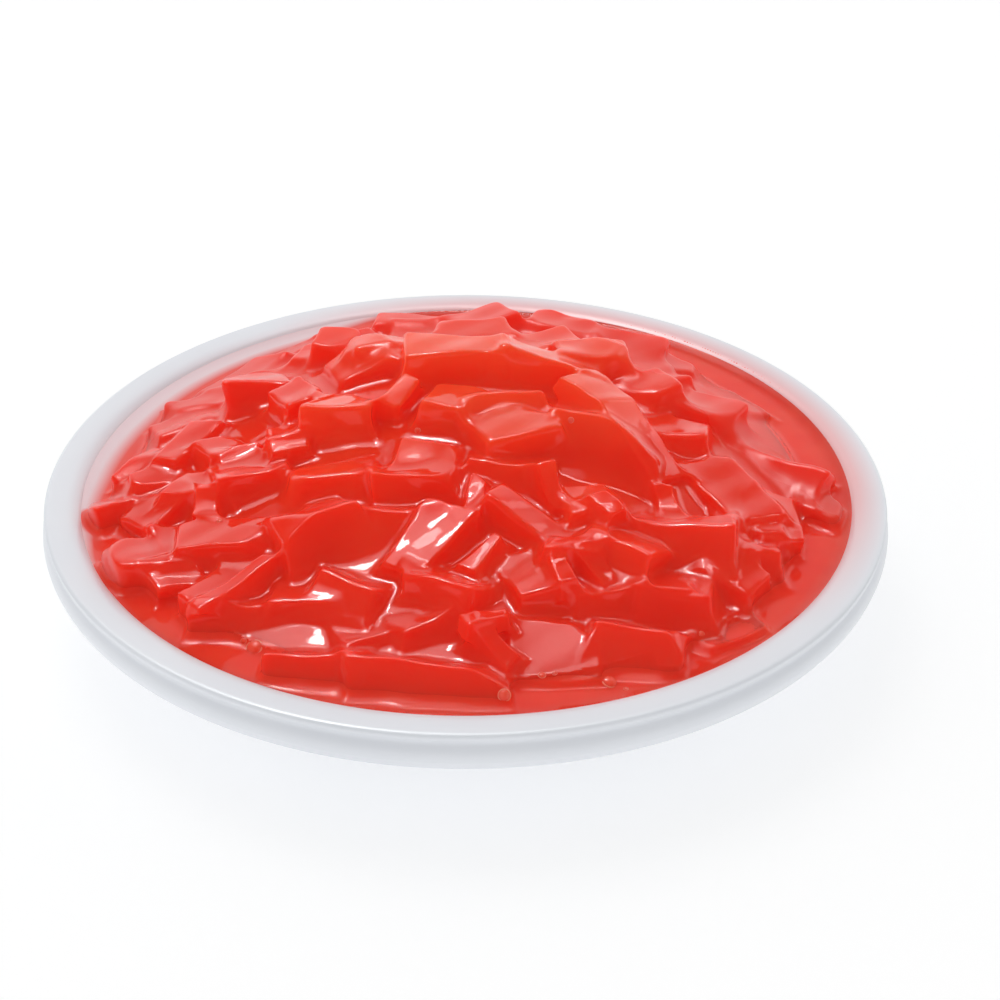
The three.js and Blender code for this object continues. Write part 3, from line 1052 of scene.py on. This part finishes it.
def makeBubbleTree():
    # a domed skin with a ring round its foot on every point, sized and turned by the point's own values
    tree = bpy.data.node_groups.new("bubbles", "GeometryNodeTree")
    sockets = {}
    for name, kind in (
        ("Points", "NodeSocketGeometry"),
        ("Least Rise", "NodeSocketFloat"),
        ("Most Rise", "NodeSocketFloat"),
        ("Ring Width", "NodeSocketFloat"),
        ("Ring Steps", "NodeSocketInt"),
        ("Seed", "NodeSocketInt"),
        ("Material", "NodeSocketMaterial"),
    ):
        socket = tree.interface.new_socket(name, in_out="INPUT", socket_type=kind)
        sockets[name] = socket.identifier
    tree.interface.new_socket("Geometry", in_out="OUTPUT", socket_type="NodeSocketGeometry")
    given = addNode(tree, "NodeGroupInput").outputs
    result = addNode(tree, "NodeGroupOutput")

    dome = addNode(tree, "GeometryNodeMeshUVSphere")
    feedAll(dome, {"Radius": 1, "Segments": given["Ring Steps"], "Rings": bubbles["domeSteps"]})

    circle = addNode(tree, "GeometryNodeCurvePrimitiveCircle")
    feedAll(circle, {"Radius": bubbles["ringRadius"], "Resolution": given["Ring Steps"]})
    profile = addNode(tree, "GeometryNodeCurvePrimitiveCircle")
    feedAll(profile, {"Radius": given["Ring Width"], "Resolution": bubbles["profileSteps"]})
    sheenRing = addNode(tree, "GeometryNodeCurveToMesh")
    feedAll(sheenRing, {"Curve": circle.outputs["Curve"], "Profile Curve": profile.outputs["Curve"]})
    # marks the ring, which the material gives a painted sheen
    marked = addNode(tree, "GeometryNodeStoreNamedAttribute", data_type="FLOAT", domain="POINT")
    feedAll(marked, {"Geometry": sheenRing.outputs["Mesh"], "Name": "sheenRing", "Value": 1})

    rise = addNode(tree, "FunctionNodeRandomValue", data_type="FLOAT")
    for place, name in ((2, "Least Rise"), (3, "Most Rise"), ("Seed", "Seed")):
        feed(rise.inputs[place], given[name])
    size = storedValue(tree, "size", "FLOAT")
    turn = addNode(tree, "FunctionNodeAlignRotationToVector", axis="Z")
    feed(turn.inputs["Vector"], storedValue(tree, "facing", "FLOAT_VECTOR"))
    scale = addNode(tree, "ShaderNodeCombineXYZ")
    feedAll(scale, {"X": size, "Y": size, "Z": calculated(tree, "MULTIPLY", rise.outputs[1], size)})

    joined = addNode(tree, "GeometryNodeJoinGeometry")
    for shape in (dome.outputs["Mesh"], marked.outputs["Geometry"]):
        spreadOut = addNode(tree, "GeometryNodeInstanceOnPoints")
        feedAll(spreadOut, {"Points": given["Points"], "Instance": shape})
        feedAll(spreadOut, {"Rotation": turn.outputs["Rotation"], "Scale": scale.outputs["Vector"]})
        feed(joined.inputs["Geometry"], spreadOut.outputs["Instances"])
    last = joined
    for kind in (
        "GeometryNodeRealizeInstances",
        "GeometryNodeSetShadeSmooth",
        "GeometryNodeSetMaterial",
    ):
        node = addNode(tree, kind)
        feed(node.inputs["Geometry"], last.outputs["Geometry"])
        last = node
    feed(last.inputs["Material"], given["Material"])
    feed(result.inputs["Geometry"], last.outputs["Geometry"])
    return tree, sockets


def makeBubbles(material):
    rows = np.array(bubbles["places"])
    placed, slope = onTop(rows[:, :2])
    mesh = bpy.data.meshes.new("bubble places")
    mesh.from_pydata((placed * mm).tolist(), [], [])
    made = bpy.data.objects.new("bubbles", mesh)
    bpy.context.scene.collection.objects.link(made)
    setValue(made, "size", rows[:, 2] * mm)
    facing = mesh.attributes.new("facing", "FLOAT_VECTOR", "POINT")
    facing.data.foreach_set("vector", slope.astype(np.float32).ravel())
    tree, sockets = makeBubbleTree()
    modifier = made.modifiers.new("bubbles", "NODES")
    modifier.node_group = tree
    modifier[sockets["Least Rise"]], modifier[sockets["Most Rise"]] = bubbles["rise"]
    modifier[sockets["Ring Width"]] = bubbles["ringWidth"]
    modifier[sockets["Ring Steps"]] = bubbles["ringSteps"]
    modifier[sockets["Seed"]] = bubbles["seed"]
    modifier[sockets["Material"]] = material
    plainMesh(made, "bubbles")
    return made


def makeBubbleMaterial():
    material, tree, shader = newMaterial("bubble skin")
    colours = bubbles["colours"]
    clouds = noiseOn(tree, *bubbles["cloudNoise"])
    cloudy = spread(tree, clouds, *bubbles["cloudSpread"])
    base = mixColours(tree, cloudy, colours["dark"], colours["light"])
    # painted sheen on the ring round the foot
    base = mixColours(tree, attributeValue(tree, "sheenRing"), base, colours["sheenRing"])
    gloss = spread(tree, clouds, *bubbles["glossSpread"], *bubbles["gloss"])
    feedAll(shader, {"Base Color": base, "Roughness": gloss})
    addScatterAndPaintedGlow(shader, bubbles, bubbles["scatterWeight"])
    addBump(tree, shader, bubbles["bumps"], bubbles["bumpHeight"])
    return material


bubblePiece = makeBubbles(makeBubbleMaterial())
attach(bubblePiece, "root")
print("bubbles:", len(bubblePiece.data.polygons), "faces on", len(bubbles["places"]), "bubbles")

# The studio: its places and sizes are in metres.

studio = {
    "floorHalf": 6,
    "floorColours": ((0.78, 0.78, 0.78), (0.8, 0.8, 0.8)),
    "floorNoise": 3,
    "floorGlow": 0.36,
    "floorGloss": 0.8,
    "floorShine": 0.1,
    "world": 0.755,
    "brightSide": (-0.1, 0.15, 0),  # matt surfaces that face this way get more light
    "glow": (0.5, 0.86, 1.32),  # a bright wall behind, seen in gloss only
    "front": 0.06,
    "boxDirection": (-0.2, 0.34, 0.92),
    "halo": (0.9, 0.99, 5.0),
    "lights": [
        # name, place, size across and up, watts, whether it also lights matt surfaces
        ("top strip", (0.1, 0.42, 0.9), (0.9, 0.06), 1.8, False),
        ("soft box", (-0.25, 0.3, 0.96), (0.18, 0.14), 3.9, False),
        ("side panel", (0.65, 0.58, 0.52), (0.34, 0.26), 0.5, False),
        ("key", (-0.3, 0.5, 1.2), (0.7, 0.7), 1.12, True),
    ],
    "aim": (0, 0, 0.03),
}


def makeFloor():
    half = studio["floorHalf"] / mm
    corners = [(-half, -half, 0), (half, -half, 0), (half, half, 0), (-half, half, 0)]
    made = makeObject("floor", corners, [(0, 1, 2, 3)])
    material, tree, shader = newMaterial("pale floor")
    base = mixColours(tree, noiseOn(tree, studio["floorNoise"]), *studio["floorColours"])
    feedAll(shader, {"Base Color": base, "Roughness": studio["floorGloss"]})
    feedAll(shader, {"Specular IOR Level": studio["floorShine"]})
    feedAll(shader, {"Emission Color": (1, 1, 1), "Emission Strength": studio["floorGlow"]})
    made.data.materials.append(material)


def makeLights():
    for name, place, size, watts, everywhere in studio["lights"]:
        data = bpy.data.lights.new(name, "AREA")
        data.shape = "RECTANGLE"
        data.size, data.size_y = size
        data.energy = watts
        made = bpy.data.objects.new(name, data)
        made.location = place
        aim = Vector(studio["aim"]) - Vector(place)
        made.rotation_euler = aim.to_track_quat("-Z", "Y").to_euler()
        made.visible_diffuse = everywhere
        made.visible_glossy = not everywhere
        bpy.context.scene.collection.objects.link(made)


def makeWorld():
    # matt surfaces get an even light, and gloss shows a bright wall and a halo round the soft box
    world = bpy.data.worlds.new("studio")
    world.use_nodes = True
    tree = world.node_tree
    direction = addNode(tree, "ShaderNodeTexCoord").outputs["Generated"]
    low, high, strength = studio["glow"]
    back = along(tree, direction, (0, 1, 0))
    wall = spread(tree, back, low, high, studio["front"], strength, "SMOOTHSTEP")
    low, high, strength = studio["halo"]
    up = along(tree, direction, studio["boxDirection"])
    halo = spread(tree, up, low, high, 0, strength, "SMOOTHSTEP")
    matt = calculated(tree, "ADD", along(tree, direction, studio["brightSide"]), studio["world"])
    glossy = calculated(tree, "ADD", wall, halo)
    isGlossy = addNode(tree, "ShaderNodeLightPath").outputs["Is Glossy Ray"]
    light = {"Color": (1, 1, 1), "Strength": mixNumbers(tree, isGlossy, matt, glossy)}
    feedAll(tree.nodes["Background"], light)
    bpy.context.scene.world = world


view = {
    "place": (0, -0.3392, 0.2264),
    "down": 31.07,
    "lens": 74.65,
    "sensor": 36,
    "shift": (0.0345, -0.0232),
    "clip": (0.01, 50),
}


def makeCamera():
    data = bpy.data.cameras.new("camera")
    data.lens = view["lens"]
    data.sensor_width = view["sensor"]
    data.shift_x, data.shift_y = view["shift"]
    data.clip_start, data.clip_end = view["clip"]
    made = bpy.data.objects.new("camera", data)
    made.location = view["place"]
    made.rotation_euler = (math.radians(90 - view["down"]), 0, 0)
    bpy.context.scene.collection.objects.link(made)
    bpy.context.scene.camera = made


makeFloor()
makeLights()
makeWorld()
makeCamera()
bpy.context.scene.view_settings.view_transform = "Standard"
print("studio: floor, lights and camera")
